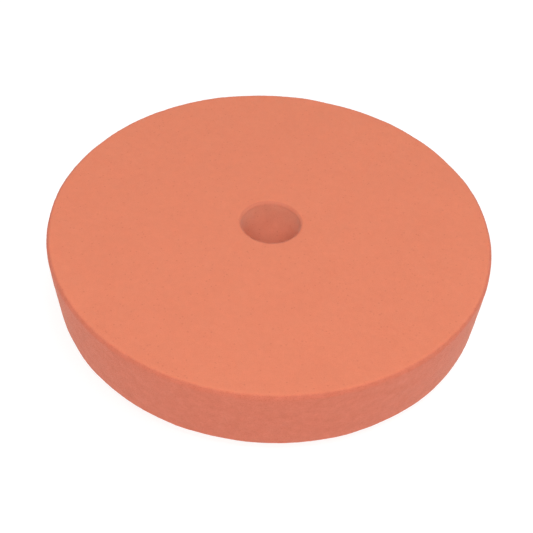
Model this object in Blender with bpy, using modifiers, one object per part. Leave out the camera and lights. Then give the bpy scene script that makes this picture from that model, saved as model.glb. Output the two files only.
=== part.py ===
"""Foam polishing pad with a hook-and-loop back.

The pad is a laminate of four rings on one axis, all pierced by the same centre hole.
From the table up they are the loop pile, the knitted ground that carries the loops,
the hot-melt film that bonds the fabric on, and the foam disc with the working face on top.

Metres, +Z up. The origin is where the pad's axis meets the table, at the tips of the loops.
"""

import math

import bpy
from mathutils import Vector

# Driving dimensions
FACE_DIAMETER = 0.1500
FOAM_FOOT_DIAMETER = 0.1472
FOAM_THICKNESS = 0.0245
BACKING_DIAMETER = 0.1420
HOLE_DIAMETER = 0.0200
PILE_THICKNESS = 0.0012
GROUND_THICKNESS = 0.0005
FILM_THICKNESS = 0.0002
LAYER_GAP = 0.0003  # clear space kept between two bonded layers

# Edge roundings
FACE_EDGE_RADIUS = 0.0015
FOOT_EDGE_RADIUS = 0.0005
HOLE_FACE_RADIUS = 0.0011
HOLE_FOOT_RADIUS = 0.0005
PILE_EDGE_RADIUS = 0.0004
SHARP = 0.0

# Fineness of the turned shapes
TURN_STEPS = 96
CORNER_SEGMENTS = 4
MERGE_DISTANCE = 0.00001

# Colours, linear RGB
FOAM_ORANGE = (0.775, 0.235, 0.136)
FILM_MILK = (0.80, 0.74, 0.60)
LOOP_GREY = (0.42, 0.42, 0.43)
PILE_GREY = (0.48, 0.48, 0.49)

# Height of each layer's underside
GROUND_Z = PILE_THICKNESS + LAYER_GAP
FILM_Z = GROUND_Z + GROUND_THICKNESS + LAYER_GAP
FOAM_Z = FILM_Z + FILM_THICKNESS + LAYER_GAP


def clear_scene():
    """Remove everything the scene starts with."""
    for obj in list(bpy.data.objects):
        bpy.data.objects.remove(obj, do_unlink=True)


def principled(name, colour, roughness, metallic=0.0):
    """A plain Principled BSDF material."""
    material = bpy.data.materials.new(name)
    material.use_nodes = True
    shader = material.node_tree.nodes["Principled BSDF"]
    shader.inputs["Base Color"].default_value = (*colour, 1.0)
    shader.inputs["Roughness"].default_value = roughness
    shader.inputs["Metallic"].default_value = metallic
    material.diffuse_color = (*colour, 1.0)
    return material


def rounded_corner(before, corner, after, radius):
    """Points of the arc that rounds one corner of an outline, or the corner itself if it is sharp."""
    if radius == SHARP:
        return [corner]
    to_before = (before - corner).normalized()
    to_after = (after - corner).normalized()
    half_angle = to_before.angle(to_after) / 2
    centre = corner + (to_before + to_after).normalized() * (radius / math.sin(half_angle))
    reach = radius / math.tan(half_angle)
    start = (corner + to_before * reach - centre).normalized()
    end = (corner + to_after * reach - centre).normalized()
    shares = [i / CORNER_SEGMENTS for i in range(CORNER_SEGMENTS + 1)]
    return [centre + radius * start.slerp(end, share) for share in shares]


def rounded_outline(corners):
    """Closed outline through corners given as (radius from the axis, height, rounding)."""
    places = [Vector((radius, height)) for radius, height, _ in corners]
    points = []
    for i, (_, _, rounding) in enumerate(corners):
        after = places[(i + 1) % len(places)]
        points += rounded_corner(places[i - 1], places[i], after, rounding)
    return points


def turned_ring(name, corners, base_z, material, collection):
    """A solid ring turned about the pad's axis, standing at base_z.

    The corners start at the outer top and run down the outer side, so that the faces point out.
    """
    outline = rounded_outline(corners)
    mesh = bpy.data.meshes.new(name)
    mesh.from_pydata(
        [(point.x, 0.0, point.y) for point in outline],
        [(i, (i + 1) % len(outline)) for i in range(len(outline))],
        [],
    )
    mesh.materials.append(material)
    ring = bpy.data.objects.new(name, mesh)
    ring.location.z = base_z
    collection.objects.link(ring)
    turn = ring.modifiers.new("turn", "SCREW")
    turn.axis = "Z"
    turn.angle = math.tau
    turn.steps = TURN_STEPS
    turn.render_steps = TURN_STEPS
    turn.use_merge_vertices = True
    turn.merge_threshold = MERGE_DISTANCE
    turn.use_smooth_shade = True
    shading = ring.modifiers.new("flat_faces_stay_flat", "WEIGHTED_NORMAL")
    shading.keep_sharp = True
    return ring


def foam_disc(collection):
    """The foam block: a wide flat working face on a wall that draws in slightly to the foot."""
    corners = [
        (FACE_DIAMETER / 2, FOAM_THICKNESS, FACE_EDGE_RADIUS),
        (FOAM_FOOT_DIAMETER / 2, 0.0, FOOT_EDGE_RADIUS),
        (HOLE_DIAMETER / 2, 0.0, HOLE_FOOT_RADIUS),
        (HOLE_DIAMETER / 2, FOAM_THICKNESS, HOLE_FACE_RADIUS),
    ]
    foam = principled("foam", FOAM_ORANGE, roughness=0.9)
    return turned_ring("foam_disc", corners, FOAM_Z, foam, collection)


def backing_corners(thickness, rounding):
    """Outline of one layer of the backing, die-cut to the backing's diameter and hole."""
    return [
        (BACKING_DIAMETER / 2, thickness, rounding),
        (BACKING_DIAMETER / 2, 0.0, rounding),
        (HOLE_DIAMETER / 2, 0.0, rounding),
        (HOLE_DIAMETER / 2, thickness, rounding),
    ]


def adhesive_film(collection):
    """The hot-melt film between the foam and the fabric."""
    corners = backing_corners(FILM_THICKNESS, SHARP)
    film = principled("hot_melt_film", FILM_MILK, roughness=0.35)
    return turned_ring("adhesive_film", corners, FILM_Z, film, collection)


def loop_ground(collection):
    """The knitted ground of the loop fabric."""
    corners = backing_corners(GROUND_THICKNESS, SHARP)
    knit = principled("ground_knit", LOOP_GREY, roughness=0.85)
    return turned_ring("loop_ground", corners, GROUND_Z, knit, collection)


def loop_pile(collection):
    """The layer of brushed loops that the hooks of a backing plate catch, as one solid."""
    corners = backing_corners(PILE_THICKNESS, PILE_EDGE_RADIUS)
    nylon = principled("loop_nylon", PILE_GREY, roughness=0.95)
    return turned_ring("loop_pile", corners, 0.0, nylon, collection)


def main():
    clear_scene()
    pad = bpy.data.collections.new("polishing_pad")
    bpy.context.scene.collection.children.link(pad)
    foam_disc(pad)
    adhesive_film(pad)
    loop_ground(pad)
    loop_pile(pad)


main()
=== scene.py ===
"""Looks of the foam polishing pad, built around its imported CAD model.

Metres throughout, +Z up, in the CAD's frame: the pad's axis is Z and the loop tips lie on z = 0.
Each layer of the laminate gets a finely meshed piece of its own, in place of its plain CAD ring:
the foam disc with its cut walls and pores, the hot-melt film with its squeezed-out rim,
the knitted ground, and the brushed loops that hang from it.
"""

import math

import bpy
import numpy as np
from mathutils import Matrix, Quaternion, Vector


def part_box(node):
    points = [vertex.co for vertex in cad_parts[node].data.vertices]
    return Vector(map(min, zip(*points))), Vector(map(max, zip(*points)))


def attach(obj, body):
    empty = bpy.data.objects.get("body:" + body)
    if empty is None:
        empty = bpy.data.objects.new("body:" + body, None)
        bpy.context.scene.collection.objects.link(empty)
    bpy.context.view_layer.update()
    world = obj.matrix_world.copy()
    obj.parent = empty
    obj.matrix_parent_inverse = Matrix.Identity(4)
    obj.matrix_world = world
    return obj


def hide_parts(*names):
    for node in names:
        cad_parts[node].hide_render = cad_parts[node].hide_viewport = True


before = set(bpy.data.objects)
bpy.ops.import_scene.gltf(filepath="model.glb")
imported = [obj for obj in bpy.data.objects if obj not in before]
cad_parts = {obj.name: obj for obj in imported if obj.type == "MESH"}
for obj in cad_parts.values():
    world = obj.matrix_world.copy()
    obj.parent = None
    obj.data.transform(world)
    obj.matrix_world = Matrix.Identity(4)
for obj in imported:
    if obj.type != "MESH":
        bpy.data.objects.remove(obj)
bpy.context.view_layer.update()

# ---------------------------------------------------------------- sizes, from the frame
FOAM_LOW, FOAM_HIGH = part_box("foam_disc")
FILM_LOW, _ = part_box("adhesive_film")
GROUND_LOW, GROUND_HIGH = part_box("loop_ground")
_, PILE_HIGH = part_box("loop_pile")


def hole_radius(node):
    """Radius of a CAD ring's hole: the least distance of its corners from the axis."""
    return min(Vector(v.co[:2]).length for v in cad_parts[node].data.vertices)


FACE_Z = FOAM_HIGH.z
FOOT_Z = FOAM_LOW.z
FACE_RADIUS = FOAM_HIGH.x
WALL_DRAW_IN = 0.0014  # how much smaller the foam's radius is at the foot
HOLE_RADIUS = hole_radius("foam_disc")
BACK_RADIUS = PILE_HIGH.x
BOND_Z = (GROUND_HIGH.z + FILM_LOW.z) / 2  # where the film has soaked into the knit
ROOT_Z = (PILE_HIGH.z + GROUND_LOW.z) / 2  # where the loops leave the knit
HAIR = 0.00001  # space kept between two layers that touch

# ---------------------------------------------------------------- camera
CAMERA_ELEVATION = math.radians(44.84)
CAMERA_ROLL = math.radians(3.62)
CAMERA_DISTANCE = 0.3164
CAMERA_AIM = Vector((-0.00050, -0.02166, FACE_Z))
CAMERA_LENS = 65.86
SENSOR_WIDTH = 36.0

# ---------------------------------------------------------------- light
SKY_STRENGTH = 0.256
SOFTBOXES = (  # name, power in watts, diameter, place
    ("overhead_softbox", 6.4, 0.90, Vector((0.12, 0.0, 1.2))),
    ("front_softbox", 5.1, 0.50, Vector((-0.03, -0.75, 0.75))),
    ("right_softbox", 1.7, 0.60, Vector((0.95, -0.25, 0.42))),
    ("left_softbox", 1.1, 0.60, Vector((-0.95, -0.25, 0.42))),
)
BACKDROP_WHITE = 1.0  # what the camera sees past the floor, so that the horizon doesn't show
FLOOR_COLOUR = (0.38, 0.38, 0.38)
FLOOR_GLOW = (0.71, 0.92)  # near the pad, and far from it, where the softboxes light the floor less
FLOOR_NEAR = 0.20
FLOOR_FAR = 1.40
FLOOR_SIDE = 6.0
FLOOR_DROP = 0.00005

# ---------------------------------------------------------------- fineness of the meshes
HIDDEN_MESH = 0.0040  # distance between neighbouring points where another layer covers them
FOAM_MESH = 0.00070
EDGE_MESH = 0.00040
NAP_MESH = 0.00065
EDGE_BAND = 0.0020  # how far in from a covered layer's edge its fine mesh reaches
CORNER_STEPS = 5
LEAST_RING = 24  # fewest points in a ring
RING_SHIFT = 0.618  # how far each ring is turned past the last, in steps, so that no seam shows

# ---------------------------------------------------------------- foam, shape
FACE_EDGE = 0.0015  # roundings
FOOT_EDGE = 0.0004
HOLE_EDGE = 0.0011  # where the hole meets the working face
HOLE_FOOT_EDGE = 0.0004
WALL_BULGE = 0.00018  # how far the walls swell midway; the outer one fits the photo's outline
CUT_WOBBLE = 0.00006  # how uneven the cut line is
CUT_LEAN = 0.00035  # how far the foot sits towards +X, which fits the photo's outline
HOLE_REACH = 0.0120  # how far from the hole its own unevenness has faded away
LONG_WAVE = 0.022  # lengths of the low waves in the surface
SHORT_WAVE = 0.007
WAVE = 0.00005  # height of the low waves
GRAIN = 0.000018  # height of the grain
PORE_DEPTH = 0.00016
PORE_SPREAD = (0.3, 1.0)  # depth of a pore, as a share of PORE_DEPTH
PORE_SHARE = 0.012  # share of the mesh's points that are stray pores
RELIEF_CAP = 0.0002  # the most that the surface may stand proud
FOAM_SEED = 160

# ---------------------------------------------------------------- foam, looks
FOAM_FACE = (0.797, 0.246, 0.141)  # linear RGB, matched to the photo under the lights above
# the outer wall's colour is the face's orange with painted shade: darker than the face, which faces
# the light above
FOAM_WALL_SHADED = (0.668, 0.193, 0.123)
# the hole's colour is the face's orange with painted light: lighter than the face
FOAM_HOLE_LIT = (0.855, 0.345, 0.226)
# the lip's colour is the face's orange with painted shade: darker than the face and the hole
FOAM_LIP_SHADED = (0.690, 0.208, 0.126)  # where the hole rounds over into the face
# pits and pinholes darken towards this as painted shade in the foam's hollows; mottling and flecks
# as random tone
FOAM_TONE_AND_SHADE = (0.550, 0.140, 0.080)  # what pits and mottling darken towards
CELL_SIZE = 0.00050
SMALL_CELL_SIZE = 0.55 * CELL_SIZE
STRUT_HEIGHT = 0.00010  # how far the walls between cells stand proud
PINHOLE_SPACING = 0.0021
FLECK_SIZE = 0.003
MOTTLE_SIZE = 0.012
LUMP_SIZE = 0.0016
LUMP_HEIGHT = 0.00008
# mottling and flecks are random tone; the pinholes and the pits are painted shade
MOTTLE_SHARE = 0.05  # how far each pattern darkens the foam towards its shade
PINHOLE_SHADE_SHARE = 0.25
FLECK_SHARE = (0.10, 0.50)  # on the face and in the hole, and on the outer wall
PIT_SHADE_SHARE = (0.13, 0.50)
# these bounds place the hole's painted light and the lip's painted shade
LIP_START = HOLE_RADIUS + 0.45 * HOLE_EDGE  # the hole's own colours end over the lip
LIP_END = HOLE_RADIUS + HOLE_EDGE
LIP_TOP = FACE_Z - 0.1 * HOLE_EDGE  # between these heights the lip's colour turns into the hole's
LIP_BOTTOM = FACE_Z - 1.6 * HOLE_EDGE
# where the surface steepens, the face's colour gives way to the wall's painted shade
WALL_STEEPNESS = (0.78, 0.99)  # share of a normal along Z at which wall turns into face

# ---------------------------------------------------------------- backing, shape
FILM_BEAD = 0.00030  # how far the film is squeezed out past the fabric
FILM_WOBBLE = 0.00014
KNIT_WOBBLE = 0.00012
NAP_DEPTH = 0.00060  # thickness of the matted part of the pile
NAP_INSET = 0.0002  # how far the nap's edges stay inside the fabric's
NAP_EDGE = 0.00025  # less than half of NAP_DEPTH, so that the two roundings stay apart
NAP_TUFT = 0.00013
NAP_FUZZ = 0.00005
NAP_CAP = 0.0004  # the most that tufts and fuzz may stand proud or sink in
SHORT_TUFT = 0.0019
LONG_TUFT = 0.006
NAP_SEED = 161
LOOP_THREAD = 0.00006  # radius of the few filaments that make one loop
LOOP_SIDES = 3  # a loop's cross-section is a triangle, which also closes its ends
LOOP_STEPS = 6
LOOP_SPAN = (0.0005, 0.0016)
LOOP_TIP = (0.00002, 0.00055)  # height of a loop's tip above the table
LOOP_LEAN = 0.0007
LOOP_BLUNTNESS = 0.8  # power of the sine that a loop follows; below 1 its top is blunter
LOOP_FIELDS = 3  # the loops away from the edges, in pieces of FIELD_LOOPS each
FIELD_LOOPS = 5000
RIM_LOOPS = 2800
HOLE_LOOPS = 280
FIELD_INSET = (0.0008, 0.0012)  # from the hole's edge and from the rim to the loop fields
RIM_BAND = (0.0016, 0.0003)  # how far in from the rim its loops begin and end
HOLE_BAND = (0.0003, 0.0012)  # how far out from the hole's edge its loops begin and end
ROOT_SEED = 162
LOOP_SEED = 163  # of the first piece of loops; each next piece takes the next number

# ---------------------------------------------------------------- backing, looks
FILM_DARK = (0.74, 0.60, 0.44)
FILM_LIGHT = (0.80, 0.70, 0.56)
KNIT_DARK = (0.24, 0.24, 0.25)
KNIT_LIGHT = (0.46, 0.46, 0.47)
NAP_DARK = (0.22, 0.22, 0.23)
NAP_LIGHT = (0.42, 0.42, 0.43)
LOOP_DARK = (0.36, 0.36, 0.37)
LOOP_LIGHT = (0.60, 0.60, 0.61)
CLOUD_SIZE = 0.002  # milky patches in the film
BUBBLE_SIZE = 0.0009
BUBBLE_HEIGHT = 0.0001
WALE_PITCH = 0.0009
COURSE_PITCH = 0.0006
STITCH_HEIGHT = 0.00015
TUFT_SIZE = 0.0011
STREAK_SIZE = 0.009
FILAMENT_SIZE = 0.00035
FILAMENT_HEIGHT = 0.0001


# ---------------------------------------------------------------- turned meshes
def arc(centre, radius, first, last):
    """Points of an arc from angle first to angle last, in degrees, both included."""
    angles = np.radians(np.linspace(first, last, CORNER_STEPS + 1))
    return [np.array(centre) + radius * np.array((math.cos(a), math.sin(a))) for a in angles]


def walk(start, end, spacing_at):
    """Points between start and end, both left out, each one local spacing on from the last."""
    length = np.linalg.norm(end - start)
    ahead = (end - start) / length
    points = []
    gone = spacing_at(start)
    while gone < length - 0.4 * spacing_at(start + gone * ahead):
        points.append(start + gone * ahead)
        gone += spacing_at(points[-1])
    return points


def ring_profile(corners, spacing_at):
    """Profile of a ring with rounded corners, and the mesh spacing at each of its points.

    The corners are (radius, height, rounding), in the order outer top, outer foot, inner foot
    and inner top.
    """
    turns = ((90, 0), (0, -90), (270, 180), (180, 90))
    inward = ((-1, -1), (-1, 1), (1, 1), (1, -1))
    arcs = []
    for (radius, height, rounding), (first, last), (in_r, in_z) in zip(corners, turns, inward):
        centre = (radius + in_r * rounding, height + in_z * rounding)
        arcs.append(arc(centre, rounding, first, last))
    outline = []
    for corner, following in zip(arcs, arcs[1:] + arcs[:1]):
        outline += corner
        outline += walk(corner[-1], following[0], spacing_at)
    return outline, [spacing_at(point) for point in outline]


def fine_at_edges(inner, outer, fine):
    """Spacing of a layer that others cover: fine near its two edges only."""
    return lambda point: HIDDEN_MESH if inner + EDGE_BAND < point[0] < outer - EDGE_BAND else fine


def stitch(counts, phases):
    """Triangles of a closed surface of revolution whose rings hold different numbers of points.

    Ring i holds counts[i] points and starts at the angle phases[i]. The last ring meets the first.
    """
    starts = np.concatenate(([0], np.cumsum(counts)))
    triangles = []
    for ring in range(len(counts)):
        other = (ring + 1) % len(counts)
        n, m = counts[ring], counts[other]
        step_a, step_b = math.tau / n, math.tau / m
        offset = round((phases[ring] - phases[other]) / step_b)
        a, b = 0, 0
        while a < n or b < m:
            next_a = phases[ring] + (a + 1) * step_a
            next_b = phases[other] + (b + offset + 1) * step_b
            here_a = starts[ring] + a % n
            here_b = starts[other] + (b + offset) % m
            if b >= m or (a < n and next_a < next_b):
                triangles.append((here_a, here_b, starts[ring] + (a + 1) % n))
                a += 1
            else:
                triangles.append((here_a, here_b, starts[other] + (b + offset + 1) % m))
                b += 1
    return np.array(triangles)


def turned_skin(outline, spacings):
    """Points, outward normals, angles and triangles of a closed outline turned about Z.

    The outline runs down the outer side. Each ring has its own number of points, so that they are
    as far apart as its spacing, and starts at its own angle, so that no seam or grid shows.
    """
    outline = np.array(outline)
    along = np.roll(outline, -1, 0) - np.roll(outline, 1, 0)
    along /= np.linalg.norm(along, axis=1)[:, None]
    outward = np.stack((-along[:, 1], along[:, 0]), 1)
    counts = [max(LEAST_RING, round(math.tau * r / s)) for (r, _), s in zip(outline, spacings)]
    phases = [math.tau * (RING_SHIFT * i % 1.0) / n for i, n in enumerate(counts)]
    turn = np.concatenate([p + math.tau * np.arange(n) / n for p, n in zip(phases, counts)])
    ring = np.repeat(np.arange(len(counts)), counts)
    r, z = outline[ring].T
    nr, nz = outward[ring].T
    points = np.stack((r * np.cos(turn), r * np.sin(turn), z), 1)
    normals = np.stack((nr * np.cos(turn), nr * np.sin(turn), nz), 1)
    return points, normals, turn, stitch(counts, phases)


def mesh_object(name, points, triangles):
    """A smooth-shaded mesh object made from arrays of points and triangles."""
    mesh = bpy.data.meshes.new(name)
    mesh.vertices.add(len(points))
    mesh.vertices.foreach_set("co", points.astype(np.float32).ravel())
    mesh.loops.add(len(triangles) * 3)
    mesh.loops.foreach_set("vertex_index", triangles.astype(np.int32).ravel())
    mesh.polygons.add(len(triangles))
    mesh.polygons.foreach_set("loop_start", np.arange(0, len(triangles) * 3, 3, dtype=np.int32))
    mesh.update(calc_edges=True)
    mesh.validate()
    mesh.shade_smooth()
    obj = bpy.data.objects.new(name, mesh)
    bpy.context.scene.collection.objects.link(obj)
    return obj


def radial(turn):
    """Unit vectors that point away from the axis at the given angles."""
    return np.stack((np.cos(turn), np.sin(turn), np.zeros(len(turn))), 1)


def finish_piece(piece, material, node):
    """Give a piece its material, hide the CAD node it stands in for, and attach it to the root
    body.
    """
    piece.data.materials.append(material)
    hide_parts(node)
    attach(piece, "root")


# ---------------------------------------------------------------- smooth random shapes
def wobble(turn, amplitude, first, last, seed):
    """A closed wavy line round the pad: a sum of waves with first to last turns each."""
    draw = np.random.default_rng(seed)
    waves = range(first, last + 1)
    total = sum(
        draw.normal() / wave * np.sin(wave * turn + draw.uniform(0, math.tau)) for wave in waves
    )
    return amplitude * total / math.sqrt(sum(0.5 / wave**2 for wave in waves))


def swell(points, wavelength, seed, waves=24):
    """A smooth random field of about unit spread: plane waves in random directions."""
    draw = np.random.default_rng(seed)
    directions = draw.normal(size=(waves, 3))
    directions /= np.linalg.norm(directions, axis=1)[:, None]
    lengths = wavelength * draw.uniform(0.7, 1.5, waves)
    phases = draw.uniform(0, math.tau, waves)
    total = np.zeros(len(points))
    for direction, length, phase in zip(directions, lengths, phases):
        total += np.sin(points @ direction * (math.tau / length) + phase)
    return total * math.sqrt(2 / waves)


# ---------------------------------------------------------------- material nodes
class Nodes:
    """A short way to write a material's node tree."""

    def __init__(self, name):
        self.material = bpy.data.materials.new(name)
        self.material.use_nodes = True
        self.tree = self.material.node_tree
        self.shader = self.tree.nodes["Principled BSDF"]
        self.coordinates = self.add("ShaderNodeTexCoord")
        self.place = self.coordinates.outputs["Object"]

    def add(self, kind, **settings):
        """A new node, with its own settings."""
        node = self.tree.nodes.new(kind)
        for key, value in settings.items():
            setattr(node, key, value)
        return node

    def link(self, source, target):
        """Join an output socket to an input socket."""
        self.tree.links.new(source, target)

    def output(self, value, socket):
        """Feed a value to one of the shader's own sockets."""
        self.link(value, self.shader.inputs[socket])

    def part(self, vector, axis):
        """One component of a vector."""
        node = self.add("ShaderNodeSeparateXYZ")
        self.link(vector, node.inputs["Vector"])
        return node.outputs[axis]

    def normal_z(self):
        """How far the surface faces up."""
        return self.part(self.coordinates.outputs["Normal"], "Z")

    def radius(self):
        """Distance from the pad's axis."""
        squares = [
            self.maths("MULTIPLY", self.part(self.place, axis), self.part(self.place, axis))
            for axis in ("X", "Y")
        ]
        return self.maths("SQRT", self.maths("ADD", *squares))

    def noise(self, size, detail=2.0, roughness=0.5):
        """Noise whose patches are about size metres across."""
        node = self.add("ShaderNodeTexNoise")
        node.inputs["Scale"].default_value = 1.0 / size
        node.inputs["Detail"].default_value = detail
        node.inputs["Roughness"].default_value = roughness
        self.link(self.place, node.inputs["Vector"])
        return node.outputs["Fac"]

    def cells(self, size, feature="F1"):
        """Distance pattern of cells that are about size metres across."""
        node = self.add("ShaderNodeTexVoronoi", feature=feature)
        node.inputs["Scale"].default_value = 1.0 / size
        self.link(self.place, node.inputs["Vector"])
        return node.outputs["Distance"]

    def remap(self, value, low, high, new_low=0.0, new_high=1.0):
        """Stretch the range low to high to a new one, and clamp what lies outside it."""
        node = self.add("ShaderNodeMapRange")
        node.inputs["From Min"].default_value = low
        node.inputs["From Max"].default_value = high
        node.inputs["To Min"].default_value = new_low
        node.inputs["To Max"].default_value = new_high
        self.link(value, node.inputs["Value"])
        return node.outputs["Result"]

    def maths(self, operation, first, second=0.0):
        """A Math node; each input is a socket or a number."""
        node = self.add("ShaderNodeMath", operation=operation)
        for socket, value in zip(node.inputs, (first, second)):
            if isinstance(value, (int, float)):
                socket.default_value = value
            else:
                self.link(value, socket)
        return node.outputs["Value"]

    def blend(self, share, first, second):
        """Mix of two colours; each is a socket or an RGB triple."""
        node = self.add("ShaderNodeMix", data_type="RGBA")
        self.link(share, node.inputs["Factor"])
        for socket, value in ((node.inputs[6], first), (node.inputs[7], second)):
            if isinstance(value, tuple):
                socket.default_value = (*value, 1.0)
            else:
                self.link(value, socket)
        return node.outputs[2]

    def bump(self, height, distance, strength, normal=None):
        """A bumped normal, on top of another one if it is given."""
        node = self.add("ShaderNodeBump")
        node.inputs["Distance"].default_value = distance
        node.inputs["Strength"].default_value = strength
        self.link(height, node.inputs["Height"])
        if normal is not None:
            self.link(normal, node.inputs["Normal"])
        return node.outputs["Normal"]

    def set(self, **values):
        """Constants on the shader's own sockets, with _ for each space in a socket's name."""
        for key, value in values.items():
            self.shader.inputs[key.replace("_", " ")].default_value = value


def foam_skin(m, wall, near_axis):
    """The foam's colour before its cells: the face's orange, with painted shade on the outer wall
    and the lip, and painted light in the hole.
    """
    below_rim = m.remap(m.part(m.place, "Z"), LIP_BOTTOM, LIP_TOP, 1.0, 0.0)
    outside = m.blend(wall, FOAM_FACE, FOAM_WALL_SHADED)
    inside = m.blend(below_rim, FOAM_LIP_SHADED, FOAM_HOLE_LIT)
    return m.blend(near_axis, outside, inside)


def foam_tone_and_pit_shade(m, outer_wall, pits):
    """How far the foam darkens: random mottling and flecks, and painted shade in the cells' pits
    and the pinholes.
    The outer wall gets more of the flecks and more painted pit shade than the rest.
    """
    tone_and_shade = m.remap(m.noise(MOTTLE_SIZE, detail=3.0), 0.3, 0.7, 0.0, MOTTLE_SHARE)
    flecks = m.remap(m.noise(FLECK_SIZE, detail=3.0, roughness=0.7), 0.3, 0.7)
    pinholes = m.remap(m.cells(PINHOLE_SPACING), 0.10, 0.17, 1.0, 0.0)
    fleck_share = m.remap(outer_wall, 0.0, 1.0, *FLECK_SHARE)
    pit_share = m.remap(outer_wall, 0.0, 1.0, *PIT_SHADE_SHARE)
    shares = ((flecks, fleck_share), (pits, pit_share), (pinholes, PINHOLE_SHADE_SHARE))
    for pattern, share in shares:
        tone_and_shade = m.maths("ADD", tone_and_shade, m.maths("MULTIPLY", pattern, share))
    return tone_and_shade


def foam_material():
    """Orange open-cell polyurethane foam: fine cells, faint mottling and a soft fuzzy bloom.

    The face, the outer wall, the hole and its lip each have a colour: the wall's and the lip's are
    painted shade, the hole's is painted light. They were chosen so that the render matches the
    photo under this script's lights.
    """
    m = Nodes("orange_foam")
    wall = m.remap(m.maths("ABSOLUTE", m.normal_z()), *WALL_STEEPNESS, 1.0, 0.0)
    near_axis = m.remap(m.radius(), LIP_START, LIP_END, 1.0, 0.0)
    outer_wall = m.maths("SUBTRACT", wall, near_axis)
    cells = m.cells(CELL_SIZE, feature="DISTANCE_TO_EDGE")
    small_cells = m.cells(SMALL_CELL_SIZE, feature="DISTANCE_TO_EDGE")
    pits = m.remap(cells, 0.10, 0.30)
    tone_and_shade = foam_tone_and_pit_shade(m, outer_wall, pits)
    m.output(m.blend(tone_and_shade, foam_skin(m, wall, near_axis), FOAM_TONE_AND_SHADE), "Base Color")
    m.output(m.remap(pits, 0.0, 1.0, 0.82, 0.98), "Roughness")
    struts = [m.remap(pattern, 0.04, 0.30, 1.0, 0.0) for pattern in (cells, small_cells)]
    grain = m.bump(m.maths("MAXIMUM", *struts), STRUT_HEIGHT, strength=0.6)
    lumps = m.noise(LUMP_SIZE, detail=3.0)
    m.output(m.bump(lumps, LUMP_HEIGHT, strength=0.4, normal=grain), "Normal")
    m.set(
        Subsurface_Weight=0.25,
        Subsurface_Radius=(1.0, 0.45, 0.30),
        Subsurface_Scale=0.0016,
        Specular_IOR_Level=0.15,
        Sheen_Weight=0.16,
        Sheen_Roughness=0.32,
        Sheen_Tint=(1.0, 0.74, 0.66, 1.0),
    )
    return m.material


def film_material():
    """Milky hot-melt film, slightly glossy, with flow lines and tiny bubbles."""
    m = Nodes("milky_film")
    cloud = m.remap(m.noise(CLOUD_SIZE, detail=4.0), 0.35, 0.65)
    m.output(m.blend(cloud, FILM_DARK, FILM_LIGHT), "Base Color")
    m.output(m.remap(cloud, 0.0, 1.0, 0.28, 0.45), "Roughness")
    m.output(m.bump(m.cells(BUBBLE_SIZE), BUBBLE_HEIGHT, strength=0.6), "Normal")
    m.set(
        Specular_IOR_Level=0.5,
        Subsurface_Weight=0.4,
        Subsurface_Radius=(1.0, 0.9, 0.8),
        Subsurface_Scale=0.001,
    )
    return m.material


def knit_material():
    """The knitted ground: fine wales across and courses along, in undyed grey yarn."""
    m = Nodes("ground_knit")
    bands = []
    for direction, pitch in (("X", WALE_PITCH), ("Y", COURSE_PITCH)):
        wave = m.add("ShaderNodeTexWave", wave_type="BANDS", bands_direction=direction)
        wave.inputs["Scale"].default_value = math.tau / 20 / pitch
        wave.inputs["Distortion"].default_value = 1.2
        m.link(m.place, wave.inputs["Vector"])
        bands.append(wave.outputs["Fac"])
    stitches = m.maths("MULTIPLY", *bands)
    m.output(m.blend(stitches, KNIT_DARK, KNIT_LIGHT), "Base Color")
    m.output(m.remap(stitches, 0.0, 1.0, 0.95, 0.75), "Roughness")
    m.output(m.bump(stitches, STITCH_HEIGHT, strength=0.8), "Normal")
    m.set(Specular_IOR_Level=0.3, Sheen_Weight=0.3, Sheen_Roughness=0.4)
    return m.material


def pile_material(name, dark, light):
    """Brushed nylon: grey filaments, lighter and darker in soft patches and streaks, with a soft
    sheen.
    """
    m = Nodes(name)
    tufts = m.remap(m.noise(TUFT_SIZE, detail=4.0, roughness=0.65), 0.3, 0.7)
    streaks = m.remap(m.noise(STREAK_SIZE, detail=2.0), 0.3, 0.7, 0.0, 0.5)
    middle = tuple(0.5 * (a + b) for a, b in zip(dark, light))
    m.output(m.blend(streaks, m.blend(tufts, dark, light), middle), "Base Color")
    m.output(m.remap(tufts, 0.0, 1.0, 0.9, 0.65), "Roughness")
    filaments = m.noise(FILAMENT_SIZE, detail=3.0)
    m.output(m.bump(filaments, FILAMENT_HEIGHT, strength=0.7), "Normal")
    m.set(Specular_IOR_Level=0.35, Sheen_Weight=0.4, Sheen_Roughness=0.35)
    return m.material


# ---------------------------------------------------------------- the foam disc
def foam_spacing(point):
    """Spacing of the foam's mesh: coarse only where the backing covers its underside."""
    radius, height = point
    covered = HOLE_RADIUS + EDGE_BAND < radius < BACK_RADIUS - EDGE_BAND
    return HIDDEN_MESH if covered and height < FOOT_Z + HAIR else FOAM_MESH


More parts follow.
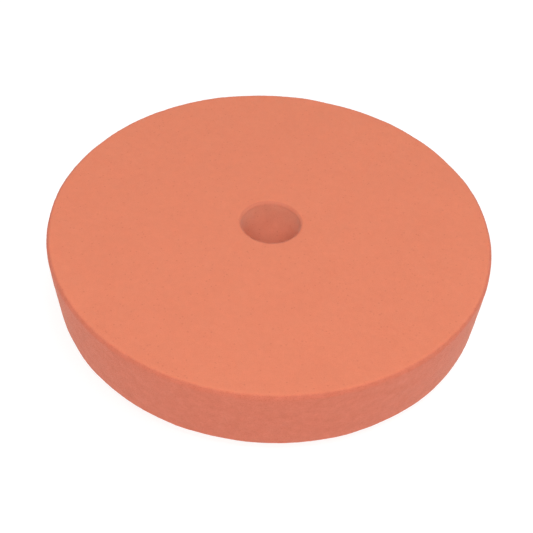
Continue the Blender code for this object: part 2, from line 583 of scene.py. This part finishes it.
def make_foam():
    """The foam disc: flat face, faintly swollen walls, uneven cut line, grain and stray pores."""
    rng = np.random.default_rng(FOAM_SEED)
    corners = (
        (FACE_RADIUS, FACE_Z, FACE_EDGE),
        (FACE_RADIUS - WALL_DRAW_IN, FOOT_Z, FOOT_EDGE),
        (HOLE_RADIUS, FOOT_Z, HOLE_FOOT_EDGE),
        (HOLE_RADIUS, FACE_Z, HOLE_EDGE),
    )
    points, normals, turn, triangles = turned_skin(*ring_profile(corners, foam_spacing))
    radius = np.hypot(points[:, 0], points[:, 1])
    height = (points[:, 2] - FOOT_Z) / (FACE_Z - FOOT_Z)
    outer_share = np.clip((radius - HOLE_RADIUS) / (FACE_RADIUS - HOLE_RADIUS), 0, 1) ** 3
    hole_share = np.clip(1 - (radius - HOLE_RADIUS) / HOLE_REACH, 0, 1) ** 2
    cut = outer_share * wobble(turn, CUT_WOBBLE, first=2, last=7, seed=3)
    twisted = turn + 2 * height
    cut += outer_share * 0.3 * wobble(twisted, CUT_WOBBLE, first=8, last=19, seed=4)
    cut += hole_share * 0.4 * wobble(turn, CUT_WOBBLE, first=2, last=6, seed=5)
    wall_share = 1 - np.abs(normals[:, 2])
    swelling = np.where(radius > FACE_RADIUS / 2, WALL_BULGE, -WALL_BULGE)
    arch = 4 * height * (1 - height)  # 0 at the face and at the foot, 1 midway
    cut += wall_share * swelling * arch
    relief = WAVE * swell(points, LONG_WAVE, seed=6)
    relief += 0.4 * WAVE * swell(points, SHORT_WAVE, seed=7)
    relief += GRAIN * rng.normal(size=len(points))
    pores = rng.random(len(points)) < PORE_SHARE
    relief -= pores * PORE_DEPTH * rng.uniform(*PORE_SPREAD, len(points))
    relief = np.minimum(relief, RELIEF_CAP)
    points = points + radial(turn) * cut[:, None] + normals * relief[:, None]
    points[:, 0] += outer_share * CUT_LEAN * (1 - height)
    points[:, 2] = np.maximum(points[:, 2], FOOT_Z)
    foam = mesh_object("foam_disc_cut", points, triangles)
    finish_piece(foam, foam_material(), "foam_disc")


# ---------------------------------------------------------------- the backing
def thin_ring(outer, inner, low, high):
    """A turned skin for one covered layer, with its edges half rounded."""
    rounding = 0.45 * (high - low)
    corners = (
        (outer, high, rounding),
        (outer, low, rounding),
        (inner, low, rounding),
        (inner, high, rounding),
    )
    return turned_skin(*ring_profile(corners, fine_at_edges(inner, outer, EDGE_MESH)))


def make_film():
    """The hot-melt film, whose rim was squeezed out into an uneven bead when it was pressed."""
    bead = BACK_RADIUS + FILM_BEAD
    points, _, turn, triangles = thin_ring(bead, HOLE_RADIUS, BOND_Z + HAIR, FOOT_Z - HAIR)
    rim_share = np.hypot(points[:, 0], points[:, 1]) > BACK_RADIUS - EDGE_BAND / 2
    squeeze = rim_share * wobble(turn, FILM_WOBBLE, first=9, last=90, seed=11)
    points += radial(turn) * squeeze[:, None]
    film = mesh_object("hot_melt_film", points, triangles)
    finish_piece(film, film_material(), "adhesive_film")
    return film


def make_ground():
    """The knitted ground of the loop fabric, die-cut to the backing's size."""
    low, high = ROOT_Z + HAIR, BOND_Z - HAIR
    points, normals, turn, triangles = thin_ring(BACK_RADIUS, HOLE_RADIUS, low, high)
    near_edge = np.abs(normals[:, 2]) < 0.9
    fray = wobble(turn, KNIT_WOBBLE, first=4, last=160, seed=12)
    points += radial(turn) * (near_edge * fray)[:, None]
    ground = mesh_object("knitted_ground", points, triangles)
    finish_piece(ground, knit_material(), "loop_ground")
    return ground


def make_nap():
    """The matted part of the pile: brushed nylon in low tufts, fuzzy at its edges."""
    rng = np.random.default_rng(NAP_SEED)
    low = ROOT_Z - NAP_DEPTH
    outer, inner = BACK_RADIUS - NAP_INSET, HOLE_RADIUS + NAP_INSET
    corners = (
        (outer, ROOT_Z, NAP_EDGE),
        (outer, low, NAP_EDGE),
        (inner, low, NAP_EDGE),
        (inner, ROOT_Z, NAP_EDGE),
    )
    covered = fine_at_edges(inner, outer, NAP_MESH)

    def spacing_at(point):
        return NAP_MESH if point[1] < ROOT_Z - HAIR else covered(point)

    points, normals, _, triangles = turned_skin(*ring_profile(corners, spacing_at))
    relief = NAP_TUFT * swell(points, SHORT_TUFT, seed=13, waves=48)
    relief += NAP_TUFT * swell(points, LONG_TUFT, seed=14)
    relief += NAP_FUZZ * rng.normal(size=len(points))
    relief *= np.clip((ROOT_Z - points[:, 2]) / NAP_DEPTH, 0, 1)
    points += normals * np.clip(relief, -NAP_CAP, NAP_CAP)[:, None]
    nap = mesh_object("loop_nap", points, triangles)
    material = pile_material("nap_nylon", NAP_DARK, NAP_LIGHT)
    finish_piece(nap, material, "loop_pile")
    return nap


def loop_roots(rng, inner, outer, count):
    """Places spread evenly over a flat ring."""
    radius = np.sqrt(rng.uniform(inner**2, outer**2, count))
    turn = rng.uniform(0, math.tau, count)
    return radial(turn) * radius[:, None]


def loop_faces():
    """Triangles of one loop: a cap at each end, and two for each side of each step."""
    n = LOOP_SIDES
    faces = [(0, 2, 1), tuple(n * LOOP_STEPS + i for i in range(n))]
    for step in range(LOOP_STEPS):
        for i in range(n):
            a, b = n * step + i, n * step + (i + 1) % n
            faces += [(a, b, b + n), (a, b + n, a + n)]
    return faces


def make_loops(name, roots, seed):
    """Small arched loops that hang from the knit, each a closed three-sided tube."""
    rng = np.random.default_rng(seed)
    count = len(roots)
    heading = radial(rng.uniform(0, math.tau, count))
    lean = radial(rng.uniform(0, math.tau, count)) * rng.uniform(0, LOOP_LEAN, count)[:, None]
    span = rng.uniform(*LOOP_SPAN, count)[:, None] * heading
    rise = ROOT_Z - rng.uniform(*LOOP_TIP, count)
    share = np.linspace(0, 1, LOOP_STEPS + 1)
    arch = np.sin(np.pi * share) ** LOOP_BLUNTNESS
    up = np.array((0, 0, 1.0))
    line = roots[:, None] + span[:, None] * (share - 0.5)[:, None] + lean[:, None] * arch[:, None]
    line = line + up * (ROOT_Z - rise[:, None] * arch)[:, :, None]
    over = np.hypot(line[:, :, 0], line[:, :, 1]) / BACK_RADIUS
    line[:, :, :2] /= np.maximum(over, 1.0)[:, :, None]
    ahead = np.gradient(line, axis=1)
    ahead /= np.linalg.norm(ahead, axis=2)[:, :, None]
    side = np.cross(heading, up)[:, None]
    side = side - (side * ahead).sum(2)[:, :, None] * ahead
    side /= np.linalg.norm(side, axis=2)[:, :, None]
    across = np.cross(ahead, side)
    angles = [i * math.tau / LOOP_SIDES for i in range(LOOP_SIDES)]
    corners = [line + LOOP_THREAD * (math.cos(a) * side + math.sin(a) * across) for a in angles]
    points = np.stack(corners, axis=2).reshape(-1, 3)
    points[:, 2] = np.maximum(points[:, 2], 0.0)
    first = np.arange(count) * LOOP_SIDES * (LOOP_STEPS + 1)
    triangles = (np.array(loop_faces())[None] + first[:, None, None]).reshape(-1, 3)
    loops = mesh_object(name, points, triangles)
    material = pile_material(name + "_nylon", LOOP_DARK, LOOP_LIGHT)
    finish_piece(loops, material, "loop_pile")
    return loops


def make_backing():
    """The film, the knit and the pile of the loop fabric."""
    film = make_film()
    ground = make_ground()
    nap = make_nap()
    rng = np.random.default_rng(ROOT_SEED)
    rim = loop_roots(rng, BACK_RADIUS - RIM_BAND[0], BACK_RADIUS - RIM_BAND[1], RIM_LOOPS)
    hole_rim = loop_roots(rng, HOLE_RADIUS + HOLE_BAND[0], HOLE_RADIUS + HOLE_BAND[1], HOLE_LOOPS)
    loops = [make_loops("loops_at_edges", np.concatenate((rim, hole_rim)), LOOP_SEED)]
    inner, outer = HOLE_RADIUS + FIELD_INSET[0], BACK_RADIUS - FIELD_INSET[1]
    for i in range(1, LOOP_FIELDS + 1):
        roots = loop_roots(rng, inner, outer, FIELD_LOOPS)
        loops.append(make_loops(f"loop_field_{i}", roots, LOOP_SEED + i))


make_foam()
make_backing()


# ---------------------------------------------------------------- camera, light and floor
def make_camera():
    """The camera, at the photo's viewpoint."""
    camera = bpy.data.objects.new("camera", bpy.data.cameras.new("camera"))
    bpy.context.scene.collection.objects.link(camera)
    camera.data.lens = CAMERA_LENS
    camera.data.sensor_width = SENSOR_WIDTH
    camera.data.clip_start = 0.01
    back = Vector((0.0, -math.cos(CAMERA_ELEVATION), math.sin(CAMERA_ELEVATION)))
    camera.location = CAMERA_AIM + back * CAMERA_DISTANCE
    camera.rotation_mode = "QUATERNION"
    roll = Quaternion((0, 0, 1), CAMERA_ROLL)
    camera.rotation_quaternion = back.to_track_quat("Z", "Y") @ roll
    bpy.context.scene.camera = camera


def make_light():
    """A white backdrop that gives a dim even light, and round softboxes aimed at the pad."""
    world = bpy.data.worlds.new("white_backdrop")
    bpy.context.scene.world = world
    world.use_nodes = True
    tree = world.node_tree
    backdrop = tree.nodes["Background"]
    backdrop.inputs["Color"].default_value = (1.0, 1.0, 1.0, 1.0)
    seen = tree.nodes.new("ShaderNodeLightPath")
    strength = tree.nodes.new("ShaderNodeMapRange")
    strength.inputs["To Min"].default_value = SKY_STRENGTH
    strength.inputs["To Max"].default_value = BACKDROP_WHITE
    tree.links.new(seen.outputs["Is Camera Ray"], strength.inputs["Value"])
    tree.links.new(strength.outputs["Result"], backdrop.inputs["Strength"])
    for name, power, diameter, place in SOFTBOXES:
        lamp = bpy.data.lights.new(name, "AREA")
        lamp.shape = "DISK"
        lamp.size = diameter
        lamp.energy = power
        softbox = bpy.data.objects.new(name, lamp)
        bpy.context.scene.collection.objects.link(softbox)
        softbox.location = place
        softbox.rotation_mode = "QUATERNION"
        softbox.rotation_quaternion = (place - Vector((0.0, 0.0, FACE_Z))).to_track_quat("Z", "Y")


def make_floor():
    """A plain white table."""
    half = FLOOR_SIDE / 2
    mesh = bpy.data.meshes.new("floor")
    plan = ((-half, -half), (half, -half), (half, half), (-half, half))
    mesh.from_pydata([(x, y, -FLOOR_DROP) for x, y in plan], [], [(0, 1, 2, 3)])
    floor = bpy.data.objects.new("floor", mesh)
    bpy.context.scene.collection.objects.link(floor)
    m = Nodes("white_table")
    m.set(
        Base_Color=(*FLOOR_COLOUR, 1.0),
        Roughness=0.9,
        Specular_IOR_Level=0.1,
        Emission_Color=(1.0, 1.0, 1.0, 1.0),
    )
    m.output(m.remap(m.radius(), FLOOR_NEAR, FLOOR_FAR, *FLOOR_GLOW), "Emission Strength")
    mesh.materials.append(m.material)


make_camera()
make_light()
make_floor()
bpy.context.scene.view_settings.view_transform = "Standard"
